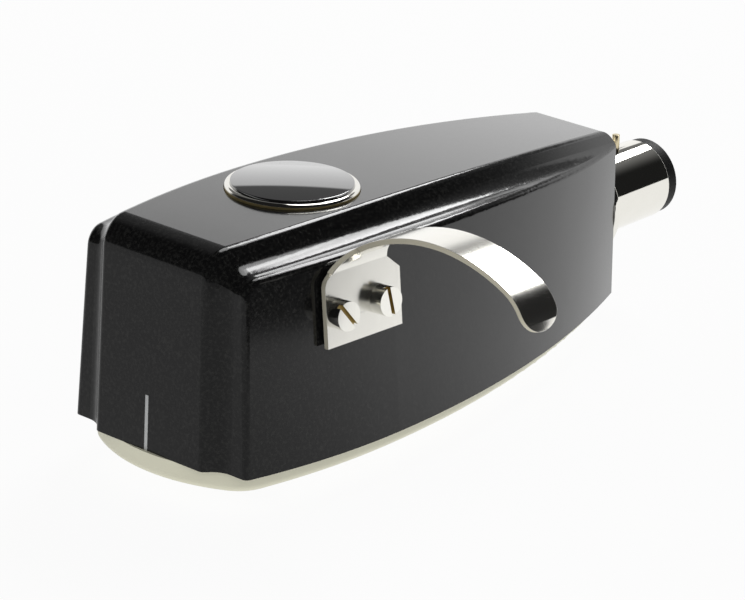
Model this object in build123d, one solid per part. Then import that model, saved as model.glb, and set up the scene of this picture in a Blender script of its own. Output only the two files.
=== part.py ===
from build123d import *

import os
from math import cos, radians, sin, sqrt, tan

# A pickup head for a tone arm: a moving-coil generator in its own shell, with a bayonet plug.
# Millimetres. The origin is on the plug's axis in its seating plane, +Y points into the tone arm,
# +Z is up and the finger lift is on the +X side.

# Shell, outside: heights are above its lower edge, setbacks are behind its front panel,
# and stations are behind (+) or ahead (-) of the seat
AXIS_HEIGHT = 8.0
SHELL_LENGTH = 60.0
WIDEST_SETBACK = 19.0
OUTLINE_SPARE = 0.67
CREST_SETBACK = 10.4
CREST_HEIGHT = 20.33
CROWN_RADIUS = 332.0
FRONT_LEAN = 0.9

# Half-widths of the ridge before its sides are sloped, and of the flanks, at the lower edge and at
# OUTLINE_HEIGHT
RIDGE_FOOT_FRONT = 8.35
RIDGE_FOOT_WIDEST = 9.65
RIDGE_FOOT_REAR = 6.25
RIDGE_TOP_FRONT = 7.95
RIDGE_TOP_WIDEST = 9.25
RIDGE_TOP_REAR = 5.85
FLANK_FOOT_FRONT = 10.75
FLANK_FOOT_WIDEST = 13.15
FLANK_FOOT_REAR = 5.35
FLANK_TOP_FRONT = 9.65
FLANK_TOP_WIDEST = 11.2
FLANK_TOP_REAR = 5.1
FLANK_SETBACK = 1.4
SHOULDER_STEP = 1.65
SHOULDER_ANGLE = 2.5
SLOPE_WIDTH = 1.75
SLOPE_SPARE = 0.7
BROW_SPARE = 0.4

RIDGE_FILLET = 0.7
FLANK_BROW_FILLET = 1.8
FLANK_FILLET = 0.6
VALLEY_FILLET = 2.4
REAR_ROUND = 1.5

# Shell, inside
WALL = 1.8
ROOF = 1.8
REAR_BLOCK = 8.2
POST_RADIUS = 2.0

# Plug
PLUG_RADIUS = 4.0
PLUG_LENGTH = 11.0
SLEEVE_LENGTH = 9.7
SLEEVE_WALL = 0.7
SHANK_LENGTH = 8.0
FLANGE_RADIUS = 5.45
FLANGE_THICK = 0.8
INSULATOR_TAIL = 0.6
INSULATOR_RIM = 1.0
RIM_RADIUS = 3.85
PIN_RECESS = 0.9
CONTACT_RADIUS = 0.5
CONTACT_SPACING = 2.5
CONTACT_TAIL = 1.6
CONTACT_RECESS = 0.25
LOCATING_STATION = 5.75
LOCATING_RADIUS = 0.38
LOCATING_TANG = 0.42
LOCATING_HEIGHT = 1.65
SET_SCREW_STATION = -3.2
SET_SCREW_RADIUS = 1.0
SET_SCREW_LENGTH = 3.4

# Base cover
COVER_DEPTH = 2.1
COVER_FLOOR = 1.2
COVER_INSET = 1.45
COVER_WALL = 1.6
COVER_BOW = 3.0
COVER_CORNER = 4.0
COVER_OVERHANG = 0.3
COVER_REAR_INSET = 0.5
COVER_FILLET = 0.7
WINDOW_WIDTH = 9.0
WINDOW_FRONT = 2.8
WINDOW_LENGTH = 14.0
WINDOW_FILLET = 1.5
COVER_SCREW_SIDE = 7.4
COVER_SCREW_FRONT_SETBACK = 7.0
COVER_SCREW_REAR_STATION = -6.6
COVER_SCREW_RADIUS = 0.9
COVER_SCREW_LENGTH = 4.2
COVER_SCREW_HEAD_RADIUS = 1.7
COVER_SCREW_HEAD_HEIGHT = 0.8

# Badge
BADGE_SETBACK = 18.5
BADGE_RADIUS = 6.2
BEZEL_WIDTH = 0.75
BEZEL_HEIGHT = 0.45
BEZEL_ROUND_SHARE = 0.45
BADGE_SINK = 0.6
DOME_EDGE = 0.15
DOME_RISE = 0.75

# Finger lift
LIFT_SETBACK = 14.5
LIFT_FOOT = 10.4
LIFT_PLATE_HEIGHT = 6.7
LIFT_PLATE_WIDTH = 9.2
LIFT_THICK = 0.5
LIFT_PAD = 0.35
LIFT_PAD_ROOT = 0.9
LIFT_PAD_MARGIN = 0.8
LIFT_BEND_RADIUS = 2.0
LIFT_BEND_ANGLE = 62.4
LIFT_RISE_RADIUS = 18.2
LIFT_RISE_ANGLE = 57.4
LIFT_FALL_RADIUS = 4.5
LIFT_FALL_ANGLE = 59.5
LIFT_ARM_WIDTH = 4.25
LIFT_NECK_DROP = 0.6
LIFT_REAR_CHAMFER = 1.5
LIFT_REAR_DROP = 1.3
LIFT_TIP_LENGTH = 2.1
LIFT_CORNER = 1.2
LIFT_SCREW_HEIGHT = 3.0
LIFT_SCREW_FRONT = 3.2
LIFT_SCREW_REAR = 2.0
LIFT_SCREW_FRONT_ANGLE = -52.0
LIFT_SCREW_REAR_ANGLE = -80.0
LIFT_SCREW_RADIUS = 0.7
LIFT_SCREW_LENGTH = 2.5
LIFT_SCREW_HEAD_RADIUS = 1.35
LIFT_SCREW_HEAD_HEIGHT = 1.4

# Stylus and armature
STYLUS_SETBACK = 8.0
STYLUS_DEPTH = 12.2
STYLUS_LENGTH = 0.9
STYLUS_RADIUS = 0.2
STYLUS_POINT_RADIUS = 0.03
STYLUS_POINT_LENGTH = 0.4
RAKE_ANGLE = 22.0
CANTILEVER_LENGTH = 7.5
CANTILEVER_TIP = 0.45
CANTILEVER_RADIUS = 0.35
CORE_SPAN = 1.55
CORE_BAR = 0.45
CORE_HUB_RADIUS = 0.55
COIL_START = 0.6
COIL_LENGTH = 0.8
COIL_SIZE = 0.9
TENSION_WIRE_RADIUS = 0.15
WIRE_GAP = 0.1

# Generator
POLE_GAP = 0.55
DAMPER_GAP = 0.1
DAMPER_RADIUS = 1.25
DAMPER_BORE = 0.4
DAMPER_THICK = 0.8
FRONT_POLE_THICK = 1.0
FRONT_POLE_NOSE = 1.2
FORK_WIDTH = 1.5
MAGNET_WIDTH = 5.2
MAGNET_LENGTH = 7.5
MAGNET_HEIGHT = 5.0
MAGNET_LIFT = 2.0
REAR_POLE_THICK = 1.5
REAR_POLE_FOOT = 3.5
REAR_POLE_DROP = 1.4
POLE_PIN_RADIUS = 1.2
WIRE_BORE = 0.25
CLAMP_RADIUS = 0.5
CLAMP_LENGTH = 2.4
BRACKET_THICK = 1.4
BRACKET_CHEEK = 1.2
BRACKET_CHEEK_DEPTH = 3.4
EAR_THICK = 1.6
EAR_LENGTH = 5.5
EAR_WIDTH = 16.4
EAR_HEIGHT = 9.2
EAR_REAR_SETBACK = 21.5
GENERATOR_SCREW_SIDE = 6.2
GENERATOR_SCREW_SETBACK = 18.8
GENERATOR_SCREW_RADIUS = 1.0
GENERATOR_SCREW_LENGTH = 5.0
GENERATOR_SCREW_HEAD_RADIUS = 1.8
GENERATOR_SCREW_HEAD_HEIGHT = 1.3
TERMINAL_BOARD_WIDTH = 12.0
TERMINAL_BOARD_HEIGHT = 4.2
TERMINAL_BOARD_THICK = 1.2
TERMINAL_SPACING = 3.0
TERMINAL_RADIUS = 0.35
TERMINAL_FRONT = 0.5
TERMINAL_REAR = 1.6
TERMINAL_DROP = 2.6

# Lead wires
LEAD_RADIUS = 0.4
LEAD_STRAIGHT = 4.5
BEND_SHARE = 0.45

# Fits
FIT = 0.05
SLOT_WIDTH = 0.4
SLOT_DEPTH = 0.45

# Places that follow from the sizes above
FLOOR_Z = -AXIS_HEIGHT
REAR_Y = -FLANGE_THICK
FRONT_Y = -SHELL_LENGTH
WIDEST_STATION = FRONT_Y + WIDEST_SETBACK
CREST_STATION = FRONT_Y + CREST_SETBACK
COVER_SCREW_FRONT_STATION = FRONT_Y + COVER_SCREW_FRONT_SETBACK
BADGE_STATION = FRONT_Y + BADGE_SETBACK
LIFT_STATION = FRONT_Y + LIFT_SETBACK
STYLUS_STATION = FRONT_Y + STYLUS_SETBACK
EAR_REAR_STATION = FRONT_Y + EAR_REAR_SETBACK
GENERATOR_SCREW_STATION = FRONT_Y + GENERATOR_SCREW_SETBACK
OUTLINE_HEIGHT = CREST_HEIGHT + OUTLINE_SPARE
SLOPE_DEPTH = SHOULDER_STEP + SLOPE_SPARE
BROW_FILLET = SLOPE_DEPTH + BROW_SPARE
CROWN_CENTRE_Z = FLOOR_Z + CREST_HEIGHT - CROWN_RADIUS
COVER_Z = FLOOR_Z - COVER_DEPTH
EAR_Z = FLOOR_Z + EAR_HEIGHT
UPWARD = (Align.CENTER, Align.CENTER, Align.MIN)


def block(x_limits, y_limits, z_limits):
    """A box between two limits along each axis."""
    limits = (x_limits, y_limits, z_limits)
    middle = [(low + high) / 2 for low, high in limits]
    sizes = [high - low for low, high in limits]
    return Pos(*middle) * Box(*sizes)


def rod(radius, start, end):
    """A round bar along Y."""
    return Pos(0, start, 0) * Rot(-90, 0, 0) * Cylinder(radius, end - start, align=UPWARD)


def post(radius, low, high):
    """A round bar along Z."""
    return Pos(0, 0, low) * Cylinder(radius, high - low, align=UPWARD)


def driver_slot(reach, low):
    """The slot in a screw's head, along X and up from a height."""
    return block((-reach, reach), (-SLOT_WIDTH / 2, SLOT_WIDTH / 2), (low, low + SLOT_DEPTH))


def slotted_screw(radius, length, head_radius, head_height):
    """A cheese-head screw: its head stands on the plane z = 0 and its shank points down."""
    head = post(head_radius, 0, head_height) - driver_slot(head_radius, head_height - SLOT_DEPTH)
    return head + post(radius, -length, 0)


def side_arcs(front, widest, rear, front_y, rear_y):
    """Both sides of a plan, each an arc forward and an arc back from the widest station."""
    arcs = []
    for side in (1, -1):
        start = (side * widest, WIDEST_STATION)
        arcs.append(TangentArc(start, (side * front, front_y), tangent=(0, -1)))
        arcs.append(TangentArc(start, (side * rear, rear_y), tangent=(0, 1)))
    return arcs


def plan_outline(front, widest, rear, front_y, rear_y):
    """Plan of the shell: each side is two arcs that meet at the widest station."""
    edges = [Line((-front, front_y), (front, front_y)), Line((-rear, rear_y), (rear, rear_y))]
    return make_face(edges + side_arcs(front, widest, rear, front_y, rear_y))


def arc_half_width(y, front, widest, rear, front_y, rear_y):
    """Half-width of such a plan at one station, and its slope there."""
    end, end_y = (front, front_y) if y < WIDEST_STATION else (rear, rear_y)
    drop = widest - end
    radius = (drop**2 + (end_y - WIDEST_STATION) ** 2) / (2 * drop)
    along = y - WIDEST_STATION
    return widest - radius + sqrt(radius**2 - along**2), -along / sqrt(radius**2 - along**2)


def crown(drop):
    """All that lies under the top's crown, lowered by drop."""
    centre = Pos(0, CREST_STATION, CROWN_CENTRE_Z)
    return centre * Rot(0, 90, 0) * Cylinder(CROWN_RADIUS - drop, 4 * FLANK_FOOT_WIDEST)


def drafted(foot, top, front_y, rear_y, inset):
    """A plan drawn up from the lower edge, with its own half-widths at the foot and at the top."""
    low = plan_outline(*[half - inset for half in foot], front_y + inset, rear_y)
    high = plan_outline(*[half - inset for half in top], front_y + FRONT_LEAN + inset, rear_y)
    return loft([Pos(0, 0, FLOOR_Z) * low, Pos(0, 0, FLOOR_Z + OUTLINE_HEIGHT) * high], ruled=True)


RIDGE_FOOT = (RIDGE_FOOT_FRONT, RIDGE_FOOT_WIDEST, RIDGE_FOOT_REAR)
RIDGE_TOP = (RIDGE_TOP_FRONT, RIDGE_TOP_WIDEST, RIDGE_TOP_REAR)
FLANK_FOOT = (FLANK_FOOT_FRONT, FLANK_FOOT_WIDEST, FLANK_FOOT_REAR)
FLANK_TOP = (FLANK_TOP_FRONT, FLANK_TOP_WIDEST, FLANK_TOP_REAR)
FLANK_FRONT_Y = FRONT_Y + FLANK_SETBACK


def ridge(inset, roof):
    """The raised middle of the shell, from the front panel back along the top."""
    return drafted(RIDGE_FOOT, RIDGE_TOP, FRONT_Y, REAR_Y, inset) & crown(roof)


def shoulder(side, drop):
    """All that lies under one shoulder, which falls away from the ridge, lowered by drop."""
    crest = Pos(0, 0, FLOOR_Z + CREST_HEIGHT)
    return crest * Rot(0, side * SHOULDER_ANGLE, 0) * crest.inverse() * crown(SHOULDER_STEP + drop)


def flanks(inset, roof):
    """The lower sides of the shell, across its full width."""
    body = drafted(FLANK_FOOT, FLANK_TOP, FLANK_FRONT_Y, REAR_Y, inset)
    return body & shoulder(1, roof) & shoulder(-1, roof)


def round_brow(body, radius):
    """Round the front edge of the top."""
    top = body.faces().sort_by(Axis.Z)[-1]
    return fillet(top.edges().sort_by(Axis.Y)[0], radius)


def sloped_ridge():
    """The ridge with its brow rounded, and its sides sloped up the front and back along the top."""
    body = round_brow(ridge(0, 0), BROW_FILLET)
    for place in (0, -1):
        front = body.faces().sort_by(Axis.Y)[0]
        corner = front.edges().sort_by(Axis.X)[place]
        body = chamfer(corner, SLOPE_WIDTH, SLOPE_DEPTH, reference=front)
    corners = body.faces().sort_by(Axis.Y)[0].edges().sort_by(Axis.X)
    return fillet([corners[0], corners[-1]], RIDGE_FILLET)


def wide_flank(side):
    """One flank with its brow rounded, drawn wider than the shell."""
    top_z = FLOOR_Z + OUTLINE_HEIGHT
    profile = Polyline(
        (FLANK_FRONT_Y, FLOOR_Z),
        (FLANK_FRONT_Y + FRONT_LEAN, top_z),
        (REAR_Y, top_z),
        (REAR_Y, FLOOR_Z),
        close=True,
    )
    body = extrude(Plane.YZ * make_face(profile), side * 2 * FLANK_FOOT_WIDEST)
    return round_brow(body & shoulder(side, 0), FLANK_BROW_FILLET)


def flank_walls():
    """All that lies between the flanks' side walls, which run on ahead of the front panel."""
    ahead = FRONT_Y - FLANK_SETBACK
    low, _ = arc_half_width(ahead, *FLANK_FOOT, FLANK_FRONT_Y, REAR_Y)
    high, _ = arc_half_width(ahead, *FLANK_TOP, FLANK_FRONT_Y + FRONT_LEAN, REAR_Y)
    foot = plan_outline(low, *FLANK_FOOT[1:], ahead, REAR_Y)
    top = plan_outline(high, *FLANK_TOP[1:], ahead, REAR_Y)
    return loft([Pos(0, 0, FLOOR_Z) * foot, Pos(0, 0, FLOOR_Z + OUTLINE_HEIGHT) * top], ruled=True)


def rear_round():
    """What is cut away to round the ridge's rear edge, from the crown over to the rear face."""
    y = REAR_Y - REAR_ROUND
    z = CROWN_CENTRE_Z + sqrt((CROWN_RADIUS - REAR_ROUND) ** 2 - (y - CREST_STATION) ** 2)
    start_y = y + REAR_ROUND * (y - CREST_STATION) / (CROWN_RADIUS - REAR_ROUND)
    reach = 2 * FLANK_FOOT_WIDEST
    corner = block((-reach, reach), (start_y, REAR_Y + REAR_ROUND), (z, z + 2 * REAR_ROUND))
    return corner - Pos(0, y, z) * Rot(0, 90, 0) * Cylinder(REAR_ROUND, 3 * reach)


def make_outside():
    """The moulding's outside, solid: a sloped ridge that runs into a flank on each side."""
    middle = sloped_ridge()
    sides = wide_flank(1) + wide_flank(-1)
    outside = middle + sides
    outside = fillet(new_edges(middle, sides, combined=outside), VALLEY_FILLET)
    outside &= flank_walls()
    share = AXIS_HEIGHT / OUTLINE_HEIGHT
    corner_x = FLANK_FOOT_FRONT + (FLANK_TOP_FRONT - FLANK_FOOT_FRONT) * share
    corner_y = FLANK_FRONT_Y + FRONT_LEAN * share
    corners = [outside.edges().sort_by_distance((x, corner_y, 0))[0] for x in (corner_x, -corner_x)]
    return fillet(corners, FLANK_FILLET) - rear_round()


def flank_surface(y, height):
    """Half-width of the flank at one station and height, its slope along the shell and its lean."""
    foot, foot_slope = arc_half_width(y, *FLANK_FOOT, FLANK_FRONT_Y, REAR_Y)
    top, top_slope = arc_half_width(y, *FLANK_TOP, FLANK_FRONT_Y + FRONT_LEAN, REAR_Y)
    share = height / OUTLINE_HEIGHT
    half = foot + (top - foot) * share
    return half, foot_slope + (top_slope - foot_slope) * share, (top - foot) / OUTLINE_HEIGHT


def lift_face():
    """Plane on the flank under the lift's plate: x to the rear, y up the wall, z outwards."""
    height = LIFT_FOOT + LIFT_PLATE_HEIGHT / 2
    half, slope, lean = flank_surface(LIFT_STATION, height)
    return Plane((half, LIFT_STATION, FLOOR_Z + height), x_dir=(slope, 1, 0), z_dir=(1, -slope, -lean))


LIFT_FACE = lift_face()
LIFT_TOP = LIFT_PLATE_HEIGHT / 2
LIFT_SCREW_LEVEL = LIFT_SCREW_HEIGHT - LIFT_TOP
LIFT_SCREWS = ((-LIFT_SCREW_FRONT, LIFT_SCREW_FRONT_ANGLE), (LIFT_SCREW_REAR, LIFT_SCREW_REAR_ANGLE))


def badge_face():
    """Plane on the ridge's crown under the badge."""
    along = BADGE_STATION - CREST_STATION
    rise = sqrt(CROWN_RADIUS**2 - along**2)
    return Plane((0, BADGE_STATION, CROWN_CENTRE_Z + rise), x_dir=(1, 0, 0), z_dir=(0, along, rise))


BADGE_FACE = badge_face()
COVER_SCREW_PLACES = (
    Pos(COVER_SCREW_SIDE, COVER_SCREW_FRONT_STATION, COVER_Z),
    Pos(-COVER_SCREW_SIDE, COVER_SCREW_FRONT_STATION, COVER_Z),
    Pos(0, COVER_SCREW_REAR_STATION, COVER_Z),
)
GENERATOR_SCREW_PLACES = (
    Pos(GENERATOR_SCREW_SIDE, GENERATOR_SCREW_STATION, EAR_Z),
    Pos(-GENERATOR_SCREW_SIDE, GENERATOR_SCREW_STATION, EAR_Z),
)


def make_shell():
    """The moulding, hollow and open below, with its solid rear block, its posts and the lift's pad."""
    outside = make_outside()
    reach = 2 * SHELL_LENGTH
    ahead_of_block = block((-reach, reach), (-reach, REAR_Y - REAR_BLOCK), (-reach, reach))
    shell = outside - ((ridge(WALL + SLOPE_WIDTH, ROOF) + flanks(WALL, ROOF)) & ahead_of_block)
    top = CREST_HEIGHT + COVER_DEPTH
    for place in COVER_SCREW_PLACES[:2]:
        shell += place * post(POST_RADIUS, COVER_DEPTH, top) & outside
    for place in GENERATOR_SCREW_PLACES:
        shell += place * post(POST_RADIUS, EAR_THICK, top) & outside

    pad_length = LIFT_PLATE_WIDTH - 2 * LIFT_PAD_MARGIN
    pad_height = LIFT_PLATE_HEIGHT - 2 * LIFT_PAD_MARGIN
    pad = Box(pad_length, pad_height, LIFT_PAD_ROOT + LIFT_PAD, align=UPWARD)
    shell += LIFT_FACE * Pos(0, 0, -LIFT_PAD_ROOT) * pad

    shell -= rod(PLUG_RADIUS + FIT, REAR_Y - REAR_BLOCK, REAR_Y)
    shell -= Pos(0, SET_SCREW_STATION, 0) * post(SET_SCREW_RADIUS + FIT, FLOOR_Z, 0)
    shell -= BADGE_FACE * post(BADGE_RADIUS + FIT, -BADGE_SINK, BADGE_SINK)
    for place in COVER_SCREW_PLACES:
        shell -= place * post(COVER_SCREW_RADIUS + FIT, 0, COVER_SCREW_LENGTH + FIT)
    for place in GENERATOR_SCREW_PLACES:
        shell -= place * post(GENERATOR_SCREW_RADIUS + FIT, 0, GENERATOR_SCREW_LENGTH + FIT)
    hole = post(LIFT_SCREW_RADIUS + FIT, -LIFT_SCREW_LENGTH - FIT, LIFT_PAD + LIFT_THICK)
    for along, _ in LIFT_SCREWS:
        shell -= LIFT_FACE * Pos(along, LIFT_SCREW_LEVEL, 0) * hole
    return shell


def cover_outline(inset):
    """Plan of the cover: the shell's foot drawn in, with a bow at the front."""
    front_y = FRONT_Y - COVER_OVERHANG + inset
    corner_y = front_y + COVER_BOW
    halves = [half - COVER_INSET - inset for half in FLANK_FOOT]
    corner, _ = arc_half_width(corner_y, *halves, FLANK_FRONT_Y, REAR_Y)
    rear_y = REAR_Y - COVER_REAR_INSET - inset
    rear, _ = arc_half_width(rear_y, *halves, FLANK_FRONT_Y, REAR_Y)
    bow = ThreePointArc((-corner, corner_y), (0, front_y), (corner, corner_y))
    back = Line((-rear, rear_y), (rear, rear_y))
    outline = make_face([bow, back] + side_arcs(corner, halves[1], rear, corner_y, rear_y))
    return fillet(outline.vertices().sort_by(Axis.Y)[:2], COVER_CORNER - inset)


def make_base_cover():
    """The ivory cover: a shallow tray upside down, with the stylus window and three screw holes."""
    cover = Pos(0, 0, COVER_Z) * extrude(cover_outline(0), COVER_DEPTH)
    cover = fillet(cover.faces().sort_by(Axis.Z)[0].outer_wire().edges(), COVER_FILLET)
    hollow = Pos(0, 0, COVER_Z + COVER_FLOOR) * extrude(cover_outline(COVER_WALL), COVER_DEPTH)
    for place in COVER_SCREW_PLACES[:2]:
        hollow -= place * post(POST_RADIUS + FIT, 0, 2 * COVER_DEPTH)
    reach = 2 * SHELL_LENGTH
    hollow &= block((-reach, reach), (-reach, REAR_Y - REAR_BLOCK), (-reach, reach))
    cover -= hollow

    window = fillet(Rectangle(WINDOW_WIDTH, WINDOW_LENGTH).vertices(), WINDOW_FILLET)
    window_y = STYLUS_STATION - WINDOW_FRONT + WINDOW_LENGTH / 2
    cover -= Pos(0, window_y, COVER_Z) * extrude(window, COVER_DEPTH)
    for place in COVER_SCREW_PLACES:
        cover -= place * countersunk_screw(FIT)
    return cover


def countersunk_screw(play):
    """A cover screw on its head's flat face, pointing up, or with play added the hole for it."""
    cone = Cone(
        COVER_SCREW_HEAD_RADIUS + play, COVER_SCREW_RADIUS + play, COVER_SCREW_HEAD_HEIGHT, align=UPWARD
    )
    return cone + post(COVER_SCREW_RADIUS + play, COVER_SCREW_HEAD_HEIGHT, COVER_SCREW_LENGTH)


def make_base_cover_screws():
    screw = countersunk_screw(0) - driver_slot(COVER_SCREW_HEAD_RADIUS, 0)
    return [place * screw for place in COVER_SCREW_PLACES]


def make_badge_bezel():
    """Bright ring, rounded on top, let into the crown."""
    ring = post(BADGE_RADIUS, -BADGE_SINK, BEZEL_HEIGHT)
    ring -= post(BADGE_RADIUS - BEZEL_WIDTH, -BADGE_SINK, BEZEL_HEIGHT)
    rim = ring.edges().group_by(Axis.Z)[-1]
    return BADGE_FACE * fillet(rim, BEZEL_WIDTH * BEZEL_ROUND_SHARE)


def make_badge_dome():
    """Bare black disc with a low dome, inside the ring."""
    radius = BADGE_RADIUS - BEZEL_WIDTH - FIT
    sphere_radius = (radius**2 + DOME_RISE**2) / (2 * DOME_RISE)
    disc = post(radius, -BADGE_SINK, DOME_EDGE + DOME_RISE)
    return BADGE_FACE * (disc & Pos(0, 0, DOME_EDGE + DOME_RISE - sphere_radius) * Sphere(sphere_radius))


def across_lift(start, end):
    """Plane along a chord of the lift's side view: x across the strip, y from start to end."""
    along = end - start
    return Plane((0, start.X, start.Y), x_dir=(1, 0, 0), z_dir=(0, -along.Y, along.X))


def make_finger_lift():
    """One bent strip: plate on the flank, neck, and an arm that arches out and down."""
    middle = LIFT_PAD + LIFT_THICK / 2
    plate = Line((-LIFT_TOP, middle), (LIFT_TOP, middle))
    bend = JernArc(plate @ 1, plate % 1, LIFT_BEND_RADIUS, LIFT_BEND_ANGLE)
    rise = JernArc(bend @ 1, bend % 1, LIFT_RISE_RADIUS, LIFT_RISE_ANGLE)
    fall = JernArc(rise @ 1, rise % 1, LIFT_FALL_RADIUS, LIFT_FALL_ANGLE)
    section = Plane.YZ * trace([plate, bend, rise, fall], LIFT_THICK)
    strip = extrude(section, LIFT_PLATE_WIDTH / 2, both=True)

    edge = LIFT_PLATE_WIDTH / 2
    arm_rear = edge - LIFT_REAR_CHAMFER
    arm_front = arm_rear - LIFT_ARM_WIDTH
    neck = (bend @ 1 - plate @ 1).length
    neck_front = -edge + (arm_front + edge) * LIFT_NECK_DROP / (LIFT_NECK_DROP + neck)
    plate_outline = make_face(
        Polyline(
            (-edge, -LIFT_TOP),
            (edge, -LIFT_TOP),
            (edge, LIFT_TOP - LIFT_REAR_DROP),
            (arm_rear, LIFT_TOP),
            (neck_front, LIFT_TOP),
            (-edge, LIFT_TOP - LIFT_NECK_DROP),
            close=True,
        )
    )
    corner = plate_outline.vertices().sort_by_distance((-edge, LIFT_TOP - LIFT_NECK_DROP))[0]
    plate_outline = fillet(corner, LIFT_CORNER)
    neck_outline = make_face(
        Polyline(
            (neck_front, -LIFT_THICK),
            (arm_rear, -LIFT_THICK),
            (arm_rear, neck + LIFT_THICK),
            (arm_front, neck + LIFT_THICK),
            (arm_front, neck),
            (neck_front, 0),
            close=True,
        )
    )
    reach = 2 * LIFT_RISE_RADIUS
    outline = extrude(plate_outline, LIFT_PAD + LIFT_THICK)
    outline += across_lift(plate @ 1, bend @ 1) * extrude(neck_outline, LIFT_BEND_RADIUS, both=True)
    outline += block((arm_front, arm_rear), (-reach, reach), ((bend @ 1).Y, reach))
    lift = strip & outline

    tip_start = fall @ (1 - LIFT_TIP_LENGTH / fall.length)
    tip = (fall @ 1 - tip_start).length - LIFT_THICK / 4
    arm_middle = (arm_front + arm_rear) / 2
    waste = Pos(arm_middle, LIFT_TIP_LENGTH) * Rectangle(2 * LIFT_ARM_WIDTH, 2 * LIFT_TIP_LENGTH)
    waste -= Pos(arm_middle, 0) * Ellipse(LIFT_ARM_WIDTH / 2, tip)
    lift -= across_lift(tip_start, fall @ 1) * extrude(waste, LIFT_FALL_RADIUS / 2, both=True)
    hole = post(LIFT_SCREW_RADIUS + FIT, 0, LIFT_PAD + LIFT_THICK)
    for along, _ in LIFT_SCREWS:
        lift -= Pos(along, LIFT_SCREW_LEVEL, 0) * hole
    return LIFT_FACE * lift


def make_finger_lift_screws():
    screw = slotted_screw(
        LIFT_SCREW_RADIUS,
        LIFT_SCREW_LENGTH,
        LIFT_SCREW_HEAD_RADIUS,
        LIFT_SCREW_HEAD_HEIGHT,
    )
    seat = LIFT_FACE * Pos(0, LIFT_SCREW_LEVEL, LIFT_PAD + LIFT_THICK)
    return [seat * Pos(along, 0, 0) * Rot(0, 0, turn) * screw for along, turn in LIFT_SCREWS]


CONTACTS = {
    "white": (-1, 1),
    "blue": (-1, -1),
    "green": (1, -1),
    "red": (1, 1),
}
CONTACT_FRONT_Y = -SHANK_LENGTH - INSULATOR_TAIL - CONTACT_TAIL
SLEEVE_BORE = PLUG_RADIUS - SLEEVE_WALL


def contact_place(colour):
    across, up = CONTACTS[colour]
    return Pos(across * CONTACT_SPACING / 2, 0, up * CONTACT_SPACING / 2)


def make_plug_sleeve():
    """Bright tube with its flange, and a hole for the locating pin's tang."""
    sleeve = rod(PLUG_RADIUS, -SHANK_LENGTH, SLEEVE_LENGTH) + rod(FLANGE_RADIUS, REAR_Y, 0)
    sleeve -= rod(SLEEVE_BORE, -SHANK_LENGTH, SLEEVE_LENGTH)
    return sleeve - Pos(0, LOCATING_STATION, 0) * locating_tang()


def locating_tang():
    """The square tang that fixes the locating pin in the tube's wall."""
    half = LOCATING_TANG / 2
    return block((-half, half), (-half, half), (SLEEVE_BORE, PLUG_RADIUS))


def make_locating_pin():
    """Brass pin on top of the tube, on its tang."""
    pin = post(LOCATING_RADIUS, PLUG_RADIUS, PLUG_RADIUS + LOCATING_HEIGHT)
    return Pos(0, LOCATING_STATION, 0) * (pin + locating_tang())


def make_plug_insulator():
    """Moulded core of the plug, with a rim round the recessed contacts."""
    core = rod(SLEEVE_BORE - FIT, -SHANK_LENGTH - INSULATOR_TAIL, SLEEVE_LENGTH)
    core += rod(RIM_RADIUS, SLEEVE_LENGTH, PLUG_LENGTH)
    core -= rod(RIM_RADIUS - INSULATOR_RIM, PLUG_LENGTH - PIN_RECESS, PLUG_LENGTH)
    for colour in CONTACTS:
        core -= contact_place(colour) * rod(CONTACT_RADIUS, CONTACT_FRONT_Y, PLUG_LENGTH)
    return core


def make_contact_pin(colour):
    return contact_place(colour) * rod(CONTACT_RADIUS, CONTACT_FRONT_Y, PLUG_LENGTH - CONTACT_RECESS)


def make_plug_set_screw():
    """Slotted grub screw under the plug's shank."""
    tip = -PLUG_RADIUS
    screw = post(SET_SCREW_RADIUS, tip - SET_SCREW_LENGTH, tip)
    slot = driver_slot(SET_SCREW_RADIUS, tip - SET_SCREW_LENGTH)
    shank = rod(PLUG_RADIUS, -SHANK_LENGTH, 0)
    return Pos(0, SET_SCREW_STATION, 0) * (screw - slot) - shank


# The generator's own frame: origin at the armature's pivot, y back along its raked axis
PIVOT_Y = STYLUS_STATION + CANTILEVER_LENGTH * cos(radians(RAKE_ANGLE))
PIVOT_Z = STYLUS_LENGTH - STYLUS_DEPTH + CANTILEVER_LENGTH * sin(radians(RAKE_ANGLE))
GENERATOR = Pos(0, PIVOT_Y, PIVOT_Z) * Rot(RAKE_ANGLE, 0, 0)
FRONT_POLE_Y = -COIL_SIZE / 2 - POLE_GAP
DAMPER_Y = COIL_SIZE / 2 + DAMPER_GAP
POLE_PIN_Y = DAMPER_Y + DAMPER_THICK + DAMPER_GAP
REAR_POLE_Y = FRONT_POLE_Y + MAGNET_LENGTH
MAGNET_TOP = MAGNET_LIFT + MAGNET_HEIGHT
HALF_MAGNET = MAGNET_WIDTH / 2
CORE_DIAGONALS = {"left": (45, 225), "right": (135, 315)}


def make_magnet():
    lengthwise = (FRONT_POLE_Y, REAR_POLE_Y)
    return GENERATOR * block((-HALF_MAGNET, HALF_MAGNET), lengthwise, (MAGNET_LIFT, MAGNET_TOP))


def make_front_pole():
    """Plate on the magnet's front, forked at its lower end round the cantilever."""
    depth = (FRONT_POLE_Y - FRONT_POLE_THICK, FRONT_POLE_Y)
    pole = block((-HALF_MAGNET, HALF_MAGNET), depth, (-FRONT_POLE_NOSE, MAGNET_TOP))
    half_fork = FORK_WIDTH / 2
    fork = block((-half_fork, half_fork), depth, (-FRONT_POLE_NOSE, 0)) + rod(half_fork, *depth)
    return GENERATOR * (pole - fork)


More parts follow.
